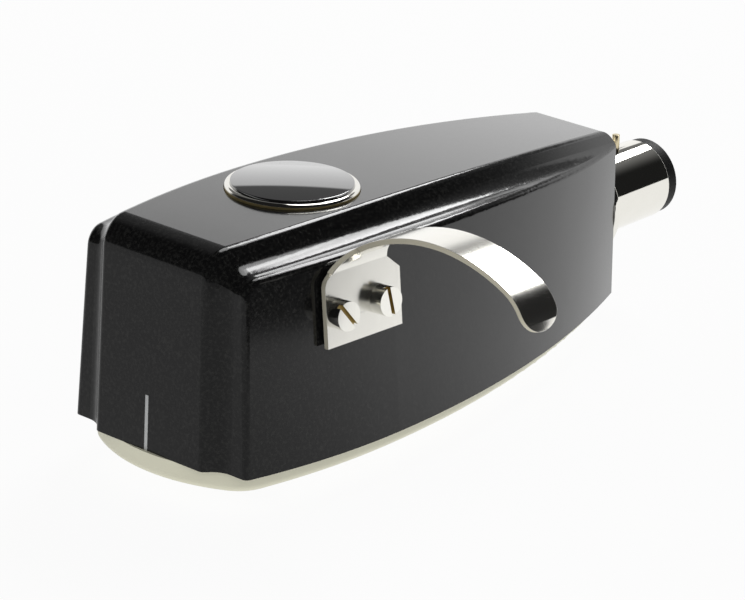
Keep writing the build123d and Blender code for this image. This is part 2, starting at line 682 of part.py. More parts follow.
def make_rear_pole():
    """Yoke behind the magnet, with a foot forward that carries the pole pin."""
    width = (-HALF_MAGNET, HALF_MAGNET)
    yoke = block(width, (REAR_POLE_Y, REAR_POLE_Y + REAR_POLE_THICK), (-REAR_POLE_DROP, MAGNET_TOP))
    yoke += block(width, (REAR_POLE_Y - REAR_POLE_FOOT, REAR_POLE_Y), (-REAR_POLE_DROP, MAGNET_LIFT))
    yoke -= rod(POLE_PIN_RADIUS, POLE_PIN_Y, REAR_POLE_Y)
    return GENERATOR * (yoke - clamp_place() * clamp_hole())


def clamp_place():
    """Where the clamp screw enters the yoke's foot from its right side."""
    return Pos(HALF_MAGNET, REAR_POLE_Y - REAR_POLE_FOOT / 2, 0) * Rot(0, -90, 0)


def clamp_hole():
    return post(CLAMP_RADIUS, 0, HALF_MAGNET)


def make_wire_clamp_screw():
    """Small grub screw that bears on the pole pin."""
    screw = post(CLAMP_RADIUS, HALF_MAGNET - POLE_PIN_RADIUS - CLAMP_LENGTH, HALF_MAGNET)
    pin = rod(POLE_PIN_RADIUS, POLE_PIN_Y, REAR_POLE_Y)
    return GENERATOR * (clamp_place() * screw - pin)


def make_pole_pin():
    lengthwise = (POLE_PIN_Y, REAR_POLE_Y)
    return GENERATOR * (rod(POLE_PIN_RADIUS, *lengthwise) - rod(WIRE_BORE, *lengthwise))


def make_tension_wire():
    return GENERATOR * rod(TENSION_WIRE_RADIUS, CORE_BAR / 2 + WIRE_GAP, REAR_POLE_Y)


def make_damper_ring():
    back = DAMPER_Y + DAMPER_THICK
    return GENERATOR * (rod(DAMPER_RADIUS, DAMPER_Y, back) - rod(DAMPER_BORE, DAMPER_Y, back))


def diagonal_bar(angle, start, length, size):
    """A square bar across the generator's axis, pointing out at an angle."""
    return Rot(0, angle, 0) * block((start, start + length), (-size / 2, size / 2), (-size / 2, size / 2))


def make_armature_core():
    """Cross of soft iron on the end of the cantilever."""
    core = rod(CORE_HUB_RADIUS, -CORE_BAR / 2, CORE_BAR / 2)
    for angles in CORE_DIAGONALS.values():
        for angle in angles:
            core += diagonal_bar(angle, 0, CORE_SPAN, CORE_BAR)
    return GENERATOR * (core - rod(CANTILEVER_RADIUS, -CORE_BAR, CORE_BAR))


def make_coil(side):
    """One winding, in two halves on the arms of one diagonal."""
    halves = []
    for angle in CORE_DIAGONALS[side]:
        turns = diagonal_bar(angle, COIL_START, COIL_LENGTH, COIL_SIZE)
        halves.append(GENERATOR * (turns - diagonal_bar(angle, 0, CORE_SPAN, CORE_BAR)))
    return halves


def make_stylus_tip():
    """The point and its shank, upright at the end of the cantilever."""
    point_top = STYLUS_POINT_LENGTH - STYLUS_DEPTH
    shank_top = STYLUS_LENGTH - STYLUS_DEPTH + CANTILEVER_RADIUS / 2
    point = Cone(STYLUS_POINT_RADIUS, STYLUS_RADIUS, STYLUS_POINT_LENGTH, align=UPWARD)
    shank = post(STYLUS_RADIUS, point_top, shank_top)
    return Pos(0, STYLUS_STATION, 0) * (Pos(0, 0, -STYLUS_DEPTH) * point + shank)


def make_cantilever():
    arm = GENERATOR * rod(CANTILEVER_RADIUS, -CANTILEVER_LENGTH - CANTILEVER_TIP, CORE_BAR / 2)
    return arm - make_stylus_tip()


def make_generator_bracket():
    """Saddle over the magnet, with an ear on each side under the shell's posts."""
    half = HALF_MAGNET + BRACKET_CHEEK
    lengthwise = (FRONT_POLE_Y, REAR_POLE_Y + REAR_POLE_THICK)
    saddle = block((-half, half), lengthwise, (MAGNET_TOP - BRACKET_CHEEK_DEPTH, MAGNET_TOP + BRACKET_THICK))
    saddle -= block((-HALF_MAGNET, HALF_MAGNET), lengthwise, (0, MAGNET_TOP))
    ear_y = (EAR_REAR_STATION - EAR_LENGTH, EAR_REAR_STATION)
    ears = block((-EAR_WIDTH / 2, EAR_WIDTH / 2), ear_y, (EAR_Z, EAR_Z + EAR_THICK))
    bracket = GENERATOR * saddle + ears
    for place in GENERATOR_SCREW_PLACES:
        bracket -= place * post(GENERATOR_SCREW_RADIUS + FIT, 0, EAR_THICK)
    return bracket


def make_generator_screws():
    screw = slotted_screw(
        GENERATOR_SCREW_RADIUS,
        GENERATOR_SCREW_LENGTH,
        GENERATOR_SCREW_HEAD_RADIUS,
        GENERATOR_SCREW_HEAD_HEIGHT,
    )
    return [place * Rot(180, 0, 0) * screw for place in GENERATOR_SCREW_PLACES]


TERMINAL_Z = EAR_Z + EAR_THICK - TERMINAL_DROP
TERMINAL_REAR_Y = EAR_REAR_STATION + TERMINAL_BOARD_THICK + TERMINAL_REAR
TERMINAL_MIDDLE = (len(CONTACTS) - 1) / 2
TERMINAL_X = {colour: (place - TERMINAL_MIDDLE) * TERMINAL_SPACING for place, colour in enumerate(CONTACTS)}


def make_terminal_board():
    """Insulating strip on the bracket's rear edge."""
    top = EAR_Z + EAR_THICK
    board = block(
        (-TERMINAL_BOARD_WIDTH / 2, TERMINAL_BOARD_WIDTH / 2),
        (EAR_REAR_STATION, EAR_REAR_STATION + TERMINAL_BOARD_THICK),
        (top - TERMINAL_BOARD_HEIGHT, top),
    )
    for pin in make_terminal_pins():
        board -= pin
    return board


def make_terminal_pins():
    pin = rod(TERMINAL_RADIUS, EAR_REAR_STATION - TERMINAL_FRONT, TERMINAL_REAR_Y)
    return [Pos(x, 0, TERMINAL_Z) * pin for x in TERMINAL_X.values()]


def make_lead_wire(colour):
    """A lead from the plug's contact to its terminal: straight runs joined by wide arcs."""
    contact = contact_place(colour).position
    points = [
        Vector(contact.X, CONTACT_FRONT_Y, contact.Z),
        Vector(contact.X, CONTACT_FRONT_Y - LEAD_STRAIGHT, contact.Z),
        Vector(TERMINAL_X[colour], TERMINAL_REAR_Y + LEAD_STRAIGHT, TERMINAL_Z),
        Vector(TERMINAL_X[colour], TERMINAL_REAR_Y, TERMINAL_Z),
    ]
    turn = radians((points[1] - points[0]).get_angle(points[2] - points[1]))
    path = FilletPolyline(*points, radius=BEND_SHARE * LEAD_STRAIGHT / tan(turn / 2))
    section = Plane(path @ 0, z_dir=path % 0) * Circle(LEAD_RADIUS)
    return sweep(section, path=path)


nodes = {
    "shell": make_shell(),
    "base_cover": make_base_cover(),
    "base_cover_screws": make_base_cover_screws(),
    "badge_bezel": make_badge_bezel(),
    "badge_dome": make_badge_dome(),
    "finger_lift": make_finger_lift(),
    "finger_lift_screws": make_finger_lift_screws(),
    "plug_sleeve": make_plug_sleeve(),
    "locating_pin": make_locating_pin(),
    "plug_insulator": make_plug_insulator(),
    "plug_set_screw": make_plug_set_screw(),
    "generator_bracket": make_generator_bracket(),
    "generator_screws": make_generator_screws(),
    "magnet": make_magnet(),
    "front_pole": make_front_pole(),
    "rear_pole": make_rear_pole(),
    "pole_pin": make_pole_pin(),
    "wire_clamp_screw": make_wire_clamp_screw(),
    "tension_wire": make_tension_wire(),
    "damper_ring": make_damper_ring(),
    "armature_core": make_armature_core(),
    "coil_left": make_coil("left"),
    "coil_right": make_coil("right"),
    "cantilever": make_cantilever(),
    "stylus_tip": make_stylus_tip(),
    "terminal_board": make_terminal_board(),
    "terminal_pins": make_terminal_pins(),
}
for colour in CONTACTS:
    nodes["contact_pin_" + colour] = make_contact_pin(colour)
    nodes["lead_wire_" + colour] = make_lead_wire(colour)

os.makedirs("parts", exist_ok=True)
for name, shape in nodes.items():
    solids = [solid for piece in (shape if isinstance(shape, list) else [shape]) for solid in piece.solids()]
    export_step(Compound(children=solids) if len(solids) > 1 else solids[0], f"parts/{name}.step")
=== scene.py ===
# %% [markdown]
# # A pickup head for a tone arm
#
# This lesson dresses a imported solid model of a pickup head: a black lacquered shell with an ivory cover
# below, a bright badge ring, a bent finger lift and a bayonet plug. Most solids already have their final
# shapes, so they stay. The lesson gives every piece its finish, rounds the edges of the small plated
# pieces, models the badge's disc and the painted index mark, and lights the head as a studio would.

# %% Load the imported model
from math import pi, radians, tan

import bpy
from mathutils import Matrix, Vector


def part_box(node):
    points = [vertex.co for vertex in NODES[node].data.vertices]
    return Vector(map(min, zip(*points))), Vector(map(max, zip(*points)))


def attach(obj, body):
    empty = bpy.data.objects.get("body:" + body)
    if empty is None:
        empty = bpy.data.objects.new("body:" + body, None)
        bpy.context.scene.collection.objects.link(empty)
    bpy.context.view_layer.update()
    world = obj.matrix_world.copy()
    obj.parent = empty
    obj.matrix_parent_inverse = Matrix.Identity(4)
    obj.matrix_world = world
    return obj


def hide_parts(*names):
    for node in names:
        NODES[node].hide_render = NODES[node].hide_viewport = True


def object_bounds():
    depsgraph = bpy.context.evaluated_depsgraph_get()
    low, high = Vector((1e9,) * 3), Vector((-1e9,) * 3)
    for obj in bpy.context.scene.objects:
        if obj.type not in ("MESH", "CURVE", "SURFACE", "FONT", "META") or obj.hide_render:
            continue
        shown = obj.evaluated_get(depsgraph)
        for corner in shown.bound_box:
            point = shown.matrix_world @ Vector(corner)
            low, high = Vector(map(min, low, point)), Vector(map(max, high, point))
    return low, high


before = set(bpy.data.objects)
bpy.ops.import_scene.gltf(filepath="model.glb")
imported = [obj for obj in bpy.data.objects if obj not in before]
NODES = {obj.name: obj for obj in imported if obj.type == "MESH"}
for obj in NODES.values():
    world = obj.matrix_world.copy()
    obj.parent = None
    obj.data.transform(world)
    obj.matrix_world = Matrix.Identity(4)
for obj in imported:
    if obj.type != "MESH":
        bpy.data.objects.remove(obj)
CAD_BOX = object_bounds()
MM = 0.001


def in_mm(vector):
    """A place or a size in millimetres, rounded for print."""
    return [round(c / MM, 2) for c in vector]


print("nodes", len(NODES), "box", [in_mm(corner) for corner in CAD_BOX])

# %% [markdown]
# ## Camera
#
# A long lens far away keeps the sides of a small product nearly parallel. A Track To constraint could aim
# the camera. Here its axes are worked out from a point to look at, a distance and three angles, because
# that also lets it roll a little. The lens follows from the width of the picture.

# %% Set up the camera
PICTURE_WIDTH = 745
FOCAL_PIXELS = 3751.2
SENSOR_WIDTH = 36.0
AIM = Vector((0.0, -30.328, -1.91)) * MM
DISTANCE = 352.43 * MM
NEAREST_SEEN = 10.0 * MM
AZIMUTH = radians(41.774)
ELEVATION = radians(21.615)
ROLL = radians(0.986)

turn = Matrix.Rotation(AZIMUTH, 4, "Z") @ Matrix.Rotation(pi / 2 - ELEVATION, 4, "X")
turn = turn @ Matrix.Rotation(ROLL, 4, "Z")
backward = turn.col[2].to_3d()
bpy.ops.object.camera_add()
camera = bpy.context.object
camera.name = "camera"
camera.data.sensor_width = SENSOR_WIDTH
camera.data.lens = FOCAL_PIXELS * SENSOR_WIDTH / PICTURE_WIDTH
camera.data.clip_start = NEAREST_SEEN
camera.matrix_world = Matrix.Translation(AIM + backward * DISTANCE) @ turn
bpy.context.scene.camera = camera
print("camera at", in_mm(camera.matrix_world.translation))

# %% [markdown]
# ## Shader maths as plain expressions
#
# Node trees could be wired one link at a time, but they are easier to read as sums. One small class wraps
# a socket, and its operators add Math nodes, so that `1 - mask` works. Its one method `node` adds any
# other kind of node: settings are set first, and then each input gets a value or a link.


# %% A socket that can be added and multiplied
class Signal:
    """A socket of a node tree."""

    def __init__(self, tree, socket=None):
        self.tree = tree
        self.socket = socket

    def node(self, kind, settings=None, inputs=None, output=0):
        """Add a node and give back one of its outputs."""
        made = self.tree.nodes.new(kind)
        for name, value in (settings or {}).items():
            if name == "stops":
                set_stops(made.color_ramp, value)
            else:
                setattr(made, name, value)
        for key, value in (inputs or {}).items():
            if isinstance(value, Signal):
                self.tree.links.new(value.socket, made.inputs[key])
            else:
                made.inputs[key].default_value = value
        return Signal(self.tree, made.outputs[output] if made.outputs else None)

    def maths(self, operation, first, second):
        """Add a Math node."""
        return self.node("ShaderNodeMath", {"operation": operation}, {0: first, 1: second})

    def __add__(self, other):
        return self.maths("ADD", self, other)

    def __radd__(self, other):
        return self.maths("ADD", other, self)

    def __sub__(self, other):
        return self.maths("SUBTRACT", self, other)

    def __rsub__(self, other):
        return self.maths("SUBTRACT", other, self)

    def __mul__(self, other):
        return self.maths("MULTIPLY", self, other)

    def __rmul__(self, other):
        return self.maths("MULTIPLY", other, self)


def set_stops(ramp, stops):
    """Give a colour ramp its stops, as (position, grey level) pairs."""
    while len(ramp.elements) < len(stops):
        ramp.elements.new(1.0)
    for element, (position, level) in zip(ramp.elements, stops):
        element.position = position
        element.color = (level, level, level, 1.0)


# %% [markdown]
# Three sums come back in many places: one coordinate of a place, a smooth step from 0 to 1, and a number
# that runs from one value to another. The kind of ray that is looking comes from a Light Path node.

# %% Helpers for sums
SMOOTH = {"interpolation_type": "SMOOTHSTEP"}


def along(place, axis):
    """One coordinate of a place or a direction: X, Y or Z."""
    return place.node("ShaderNodeSeparateXYZ", inputs={0: place}, output=axis)


def ramp_up(value, start, end):
    """A number that rises smoothly from 0 to 1 between two values."""
    return value.node("ShaderNodeMapRange", SMOOTH, {"Value": value, "From Min": start, "From Max": end})


def between(factor, low, high):
    """A number that runs from low to high as the factor goes from 0 to 1."""
    return factor * (high - low) + low


def ray_is(tree, kind):
    """1 for a ray of one kind, such as Glossy, and 0 for any other."""
    return tree.node("ShaderNodeLightPath", output=f"Is {kind} Ray")


# %% [markdown]
# ## Studio
#
# Polished metal shows its surroundings, so the surroundings are part of the look. The head stands on a
# pale floor in a dark room, with a pale sweep behind it on the left, a soft box overhead at the back, and
# a small round panel next to the box, nearer the zenith. Glowing planes could make the sweep and the
# panel. The world's own nodes are lighter: a ray's direction tells what it meets, and its kind tells who
# is looking. The camera sees a pale room. Mirrors see the sweep and the panel, and between them the dark,
# which gives plated metal its black bands. Every other ray meets an even light, so the panel draws a line
# of light on an edge and lights nothing else.

# %% Start the room
world = bpy.context.scene.world or bpy.data.worlds.new("room")
bpy.context.scene.world = world
world.use_nodes = True
world.node_tree.nodes.clear()
room = Signal(world.node_tree)
direction = room.node("ShaderNodeTexCoord", output="Generated")
print("world", world.name)


def nearness(way):
    """How nearly a ray goes one way: 1 along it, 0 across it."""
    return room.node("ShaderNodeVectorMath", {"operation": "DOT_PRODUCT"}, {0: direction, 1: way}, "Value")


# %% What each ray meets
ROOM_PAINT = (0.8, 0.8, 0.8, 1.0)
ROOM_LIGHT = 0.35
ROOM_DARK = 0.015
SWEEP_LIGHT = 1.1
SWEEP_GLOW = 0.2
PANEL_LIGHT = 6.0
SWEEP_DIRECTION = Vector((-0.67, 0.742, 0.0))
PANEL_DIRECTION = Vector((0.02, 0.4, 0.915)).normalized()
# The soft edges of the sweep, of the glow above it and of the panel, each as a start and an end
SWEEP_SIDE = (0.42, 0.6)
SWEEP_TOP = (0.39, 0.43)
GLOW_SIDE = (0.28, 0.62)
GLOW_TOP = (0.75, 0.95)
PANEL_EDGE = (0.935, 0.955)

rise = along(direction, "Z")
to_sweep = nearness(SWEEP_DIRECTION)
in_sweep = ramp_up(to_sweep, *SWEEP_SIDE) * (1 - ramp_up(rise, *SWEEP_TOP))
in_glow = ramp_up(to_sweep, *GLOW_SIDE) * (1 - ramp_up(rise, *GLOW_TOP))
in_panel = ramp_up(nearness(PANEL_DIRECTION), *PANEL_EDGE)
mirrored = ROOM_DARK + in_sweep * SWEEP_LIGHT + in_glow * SWEEP_GLOW + in_panel * PANEL_LIGHT
seen = ray_is(room, "Camera") + ray_is(room, "Transmission")
glossy = ray_is(room, "Glossy")
strength = seen + glossy * mirrored + (1 - seen) * (1 - glossy) * ROOM_LIGHT
background = room.node("ShaderNodeBackground", inputs={"Color": ROOM_PAINT, "Strength": strength})
room.node("ShaderNodeOutputWorld", inputs={"Surface": background})
print("room made of", len(world.node_tree.nodes), "nodes")

# %% [markdown]
# ### Floor
#
# A product picture has a floor with no horizon. A curved backdrop would do. Here a large plane glows
# white, with a small share of matt paint that keeps a faint shadow of the head. Mirrors see it darker in
# front, and black where a dark card lies at the right, which gives the end of the finger lift its dark
# reflection. From below the floor is clear, so that the underside of the head can be looked at.

# %% Lay the floor
FLOOR_SIZE = 6.0

bpy.ops.object.select_all(action="DESELECT")
bpy.ops.mesh.primitive_plane_add(size=FLOOR_SIZE, location=(0.0, 0.0, CAD_BOX[0].z))
floor = bpy.context.object
floor.name = "floor"
bpy.ops.object.transform_apply(location=True)
print("floor at", round(CAD_BOX[0].z / MM, 2))

# %% Finish of the floor
FLOOR_PAINT = (0.92, 0.92, 0.92, 1.0)
WHITE = (1.0, 1.0, 1.0, 1.0)
SHADOW_SHARE = 0.06
FRONT_LIGHT = 0.4
BACK_LIGHT = 1.0
# Where the light rises from front to back, and the soft edges of the card, in millimetres
LIGHT_RISE = (-75.0, 0.0)
CARD_SIDE = (64.0, 69.0)
CARD_FRONT = (73.0, 78.0)


def start_finish(name):
    """A new material and its coordinates in millimetres."""
    material = bpy.data.materials.new(name)
    material.use_nodes = True
    material.node_tree.nodes.clear()
    metres = Signal(material.node_tree).node("ShaderNodeTexCoord", output="Object")
    place = metres.node("ShaderNodeMapping", inputs={"Vector": metres, "Scale": (1 / MM, 1 / MM, 1 / MM)})
    return material, place


pale_floor, place = start_finish("pale_floor")
side = along(place, "X")
depth = along(place, "Y")
dark_card = ramp_up(side, *CARD_SIDE) * ramp_up(side - depth, *CARD_FRONT)
mirror_light = between(ramp_up(depth, *LIGHT_RISE), FRONT_LIGHT, BACK_LIGHT) * (1 - dark_card)
in_mirrors = ray_is(place, "Glossy") + ray_is(place, "Transmission")
glow_strength = 1 - in_mirrors + in_mirrors * mirror_light
matt = place.node("ShaderNodeBsdfDiffuse", inputs={"Color": FLOOR_PAINT})
glow = place.node("ShaderNodeEmission", inputs={"Color": WHITE, "Strength": glow_strength})
paper = place.node("ShaderNodeMixShader", inputs={0: 1 - SHADOW_SHARE, 1: matt, 2: glow})
clear = place.node("ShaderNodeBsdfTransparent")
from_below = place.node("ShaderNodeNewGeometry", output="Backfacing")
surface = place.node("ShaderNodeMixShader", inputs={0: from_below, 1: paper, 2: clear})
place.node("ShaderNodeOutputMaterial", inputs={"Surface": surface})
floor.data.materials.append(pale_floor)
print(pale_floor.name, "on", floor.name)

# %% [markdown]
# ### Lamps
#
# Three soft boxes light the head: one overhead at the back, a key at the right and a fill at the left.
# Point lamps would be simpler, but they throw hard shadows. Mirrors see only the overhead box, as a white
# band, because the other two would break up the dark bands.

# %% Hang the lamps
# Distances and sizes are in metres
LAMPS = {
    "overhead_box": {
        "towards": (-0.17, 0.682, 0.715),
        "distance": 0.8,
        "size": (0.45, 0.21),
        "watts": 2.67,
        "long_side": (0.85, -0.2, 0.49),
        "in_mirrors": True,
    },
    "key_box": {"towards": (0.7, -0.55, 0.9), "distance": 1.2, "size": (0.8, 0.8), "watts": 1.6},
    "fill_box": {"towards": (-0.8, -0.9, 0.5), "distance": 1.4, "size": (0.8, 0.8), "watts": 1.0},
}


def hang_lamp(name, towards, distance, size, watts, long_side=(1.0, 0.0, 0.0), in_mirrors=False):
    """A soft box that faces the head from a direction, with its long side laid along another."""
    back = Vector(towards).normalized()
    upward = back.cross(Vector(long_side)).normalized()
    facing = Matrix((upward.cross(back), upward, back)).transposed().to_4x4()
    bpy.ops.object.light_add(type="AREA")
    lamp = bpy.context.object
    lamp.name = name
    lamp.data.shape = "RECTANGLE"
    lamp.data.size, lamp.data.size_y = size
    lamp.data.energy = watts
    lamp.visible_glossy = in_mirrors
    lamp.matrix_world = Matrix.Translation(AIM + back * distance) @ facing


for lamp_name, lamp_values in LAMPS.items():
    hang_lamp(lamp_name, **lamp_values)

# %% [markdown]
# ## Finishes
#
# Every finish starts from the head's own coordinates in millimetres, so that a grain has its true size on
# every piece. Image textures would need a UV map, and noise made by nodes needs none. Each finish ends in
# one Principled shader. Only colour, roughness, metallic and bump vary over a surface, because those can
# be baked. Whatever is the same all over is a plain number on the shader's own socket.

# %% Helpers for finishes
EVEN = (1.0, 1.0, 1.0)
# A Mix node's colour sockets go by number, because its other sockets have the same names
MIX_FACTOR, MIX_FIRST, MIX_SECOND, MIX_RESULT = 0, 6, 7, 2


def grain(place, per_mm, detail=2.0, stretch=EVEN):
    """Noise from 0 to 1 with this many grains to the millimetre."""
    pulled = place.node("ShaderNodeMapping", inputs={"Vector": place, "Scale": stretch})
    return place.node("ShaderNodeTexNoise", inputs={"Vector": pulled, "Scale": per_mm, "Detail": detail})


def two_tone(factor, first, second):
    """A colour mixed from two by a factor. Each is three numbers or a colour made by other nodes."""
    first, second = [c if isinstance(c, Signal) else (*c, 1.0) for c in (first, second)]
    sockets = {MIX_FACTOR: factor, MIX_FIRST: first, MIX_SECOND: second}
    return factor.node("ShaderNodeMix", {"data_type": "RGBA"}, sockets, MIX_RESULT)


def relief(height, depth_mm, strength):
    """A bump of a depth in millimetres."""
    sockets = {"Height": height, "Distance": depth_mm * MM, "Strength": strength}
    return height.node("ShaderNodeBump", inputs=sockets)


def end_finish(place, colour, roughness, bump, others=None):
    """Close the tree with a Principled shader. Its other sockets are given by name."""
    sockets = {"Base Color": colour, "Roughness": roughness, "Normal": bump, **(others or {})}
    shader = place.node("ShaderNodeBsdfPrincipled", inputs=sockets)
    place.node("ShaderNodeOutputMaterial", inputs={"Surface": shader})


def dress(material, slot, *names):
    """Put a finish on CAD nodes. The slot argument is not used."""
    for name in names:
        NODES[name].data.materials.clear()
        NODES[name].data.materials.append(material)
    print(material.name, "on", ", ".join(names))


# %% [markdown]
# ### Black lacquer
#
# The shell is sprayed with a black lacquer that has a fine grain: tiny paler flecks under a satin
# surface. A speckle could be painted on by hand. Noise is quicker and has no seams: one makes the flecks,
# a finer one breaks the surface, and a wide one lets the sheen drift a little from place to place.

# %% Lacquer on the shell
LACQUER_BLACK = (0.0055, 0.0055, 0.0056)
LACQUER_FLECK = (0.019, 0.019, 0.018)
FLECK_STOPS = [(0.46, 0.0), (0.74, 1.0)]

lacquer, place = start_finish("black_lacquer")
flecks = place.node("ShaderNodeValToRGB", {"stops": FLECK_STOPS}, {0: grain(place, per_mm=3.6)})
fine = grain(place, per_mm=9.0)
sheen = grain(place, per_mm=0.12)
end_finish(
    place,
    colour=two_tone(flecks, LACQUER_BLACK, LACQUER_FLECK),
    roughness=between(sheen, low=0.12, high=0.17) + flecks * 0.06,
    bump=relief(fine, depth_mm=0.004, strength=0.15),
    others={"IOR": 1.3, "Coat Weight": 1.0, "Coat IOR": 1.3, "Coat Roughness": 0.1},
)
dress(lacquer, "black_lacquer", "shell")

# %% [markdown]
# ### Ivory moulding
#
# The cover below is an ivory plastic: smooth, a little uneven in colour, and faintly cloudy. One flat
# colour would look like paint. A wide noise makes the clouds, and a fine one the moulded skin.

# %% Ivory on the cover
IVORY_DEEP = (0.76, 0.745, 0.58)
IVORY_PALE = (0.82, 0.805, 0.64)

ivory, place = start_finish("ivory")
cloud = grain(place, per_mm=0.35, detail=4.0)
pores = grain(place, per_mm=4.0)
end_finish(
    place,
    colour=two_tone(cloud, IVORY_DEEP, IVORY_PALE),
    roughness=between(pores, low=0.34, high=0.46),
    bump=relief(pores, depth_mm=0.006, strength=0.4),
    others={"IOR": 1.5},
)
dress(ivory, "ivory", "base_cover")

# %% [markdown]
# ### Plated and plain metal
#
# The plug's plating is a little warm, brass is yellow, and steel and iron are grey. Polishing and drawing
# leave fine lines along one way. An anisotropic shader could stand for them, but the lines themselves
# show in a close view, so the noise is stretched along one axis. Tarnish is a second, wider noise.

# %% Helpers for metal
POLISH_SPREAD = 0.3


def polish_lines(place, stretch=EVEN):
    """The fine lines that polishing leaves."""
    return grain(place, per_mm=6.0, detail=3.0, stretch=stretch)


def tarnished(place, pale, deep):
    """A metal's colour, a little deeper in places."""
    return two_tone(grain(place, per_mm=0.5, detail=3.0), pale, deep)


def plated(name, pale, deep, rough, stretch=EVEN, depth_mm=0.0012):
    """A metal with faint polishing lines."""
    material, place = start_finish(name)
    lines = polish_lines(place, stretch)
    end_finish(
        place,
        colour=tarnished(place, pale, deep),
        roughness=between(lines, rough * (1 - POLISH_SPREAD), rough * (1 + POLISH_SPREAD)),
        bump=relief(lines, depth_mm, strength=0.25),
        others={"Metallic": 1.0},
    )
    return material


# %% Plating, brass, steel, iron and aluminium
SLEEVE_LINES = (2.0, 0.15, 2.0)
IRON_LINES = (2.0, 0.3, 2.0)
TUBE_LINES = (2.0, 0.2, 2.0)

chrome = plated("bright_plating", (0.86, 0.845, 0.79), (0.82, 0.805, 0.745), 0.05, SLEEVE_LINES)
brass = plated("bright_brass", (0.72, 0.63, 0.43), (0.58, 0.49, 0.31), 0.16)
steel = plated("plain_steel", (0.62, 0.61, 0.60), (0.50, 0.49, 0.48), 0.28)
iron = plated("soft_iron", (0.44, 0.43, 0.42), (0.33, 0.32, 0.31), 0.42, IRON_LINES, depth_mm=0.004)
tube = plated("drawn_aluminium", (0.80, 0.81, 0.82), (0.70, 0.71, 0.72), 0.24, TUBE_LINES)
dress(chrome, "bright_metal", "plug_sleeve")
dress(brass, "gilt", "locating_pin", "terminal_pins")
dress(brass, "gilt", *[name for name in NODES if name.startswith("contact_pin_")])
dress(steel, "steel", "base_cover_screws", "plug_set_screw", "generator_screws")
dress(steel, "steel", "wire_clamp_screw", "tension_wire")
dress(iron, "soft_iron", "front_pole", "rear_pole", "pole_pin", "armature_core")
dress(tube, "aluminium", "cantilever")

# %% [markdown]
# ### Screws and badge ring
#
# In the slots of the lift's screws, where a slot is cut through the plating, the yellow metal below shows.
# The same dark yellow, a little rougher and less metallic, is painted as a thin line at the foot of the
# badge's ring, where it meets the shell: that line is painted shade. A second material on some faces would
# do. One material with a mask is simpler to keep. A later cell marks the faces of the slots. The ring's
# foot is found from its height over the shell's top, which leans a little there.

# %% Nickel on the screws
SLOT_WALL = "slot_wall"
# Bare yellow metal in the screws' slots, and the painted shade at the foot of the badge ring
BARE_METAL_AND_FOOT_SHADE = (0.56, 0.45, 0.21)
BRUSH_LINES = (0.12, 2.0, 0.12)

nickel, place = start_finish("polished_nickel")
lines = polish_lines(place, BRUSH_LINES)
slot_wall = place.node("ShaderNodeAttribute", {"attribute_name": SLOT_WALL}, output="Fac")
bright = tarnished(place, (0.92, 0.91, 0.86), (0.88, 0.865, 0.80))
end_finish(
    place,
    colour=two_tone(slot_wall, bright, BARE_METAL_AND_FOOT_SHADE),
    roughness=between(lines, low=0.06, high=0.12) + slot_wall * 0.3,
    bump=relief(lines, depth_mm=0.0012, strength=0.25),
    others={"Metallic": 1.0},
)
dress(nickel, "nickel", "finger_lift_screws")

# %% Plating on the badge ring
BADGE_STATION = -41.5
BADGE_HEIGHT = 12.231
BADGE_LEAN = radians(1.398)
# Below this height the ring is painted dark yellow, rougher and less metallic: painted shade where the ring
# meets the shell
RING_FOOT_SHADE = (0.13, 0.2)

ring_plating, place = start_finish("badge_plating")
lines = polish_lines(place)
over_shell = along(place, "Z") + (along(place, "Y") - BADGE_STATION) * tan(BADGE_LEAN) - BADGE_HEIGHT
above_foot_shade = ramp_up(over_shell, *RING_FOOT_SHADE)
bright = tarnished(place, (0.80, 0.785, 0.74), (0.76, 0.745, 0.695))
end_finish(
    place,
    colour=two_tone(above_foot_shade, BARE_METAL_AND_FOOT_SHADE, bright),
    roughness=between(lines, low=0.035, high=0.065) + (1 - above_foot_shade) * 0.35,
    bump=relief(lines, depth_mm=0.0006, strength=0.2),
    others={"Metallic": between(above_foot_shade, low=0.75, high=1.0)},
)
dress(ring_plating, "bright_metal", "badge_bezel")

# %% [markdown]
# ### Satin nickel with sheared edges
#
# The finger lift is cut from sheet. Its broad faces are plated and brushed to a satin, a little rougher
# on the plate that the screws hold, and its cut edges stay matt and a little yellow. Two materials on one
# piece would do it too. One material is simpler: it reads a number that each face of the piece carries,
# 1 on a cut edge and 0 elsewhere, which a later cell sets.

# %% Satin nickel on the finger lift
CUT_EDGE = "cut_edge"
CUT_METAL = (0.70, 0.66, 0.53)
PLATE_END = (13.2, 14.6)

satin, place = start_finish("satin_nickel")
lines = polish_lines(place, BRUSH_LINES)
cut = place.node("ShaderNodeAttribute", {"attribute_name": CUT_EDGE}, output="Fac")
on_plate = 1 - ramp_up(along(place, "X"), *PLATE_END)
bright = tarnished(place, (0.92, 0.905, 0.85), (0.88, 0.865, 0.805))
end_finish(
    place,
    colour=two_tone(cut, bright, CUT_METAL),
    roughness=between(lines, low=0.12, high=0.22) + on_plate * 0.04 + cut * 0.35,
    bump=relief(lines, depth_mm=0.0012, strength=0.25),
    others={"Metallic": 1 - cut * 0.6},
)
dress(satin, "nickel", "finger_lift")

# %% [markdown]
# ### Black mouldings, rubber, laminate and magnet
#
# The badge's disc is polished and domed. The plug's insulator and the generator's bracket are plain
# mouldings with a dull skin, the damper is soft rubber, the terminal board is a brown laminate with
# fibres along its length, and the magnet is a grainy grey alloy. Each could have a tree of its own. They
# differ only in their numbers, so one function makes them all.

# %% A moulded finish
SKIN_SPREAD = 0.2


def moulded(name, deep, pale, rough, per_mm, depth_mm, stretch=EVEN, coat=0.0, ior=1.5):
    """A plain material with a faint skin."""
    material, place = start_finish(name)
    skin = grain(place, per_mm, detail=3.0, stretch=stretch)
    end_finish(
        place,
        colour=two_tone(skin, deep, pale),
        roughness=between(skin, rough * (1 - SKIN_SPREAD), rough * (1 + SKIN_SPREAD)),
        bump=relief(skin, depth_mm, strength=0.4),
        others={"Coat Weight": coat, "IOR": ior},
    )
    return material


def grey(level):
    """A grey as three equal numbers."""
    return (level, level, level)


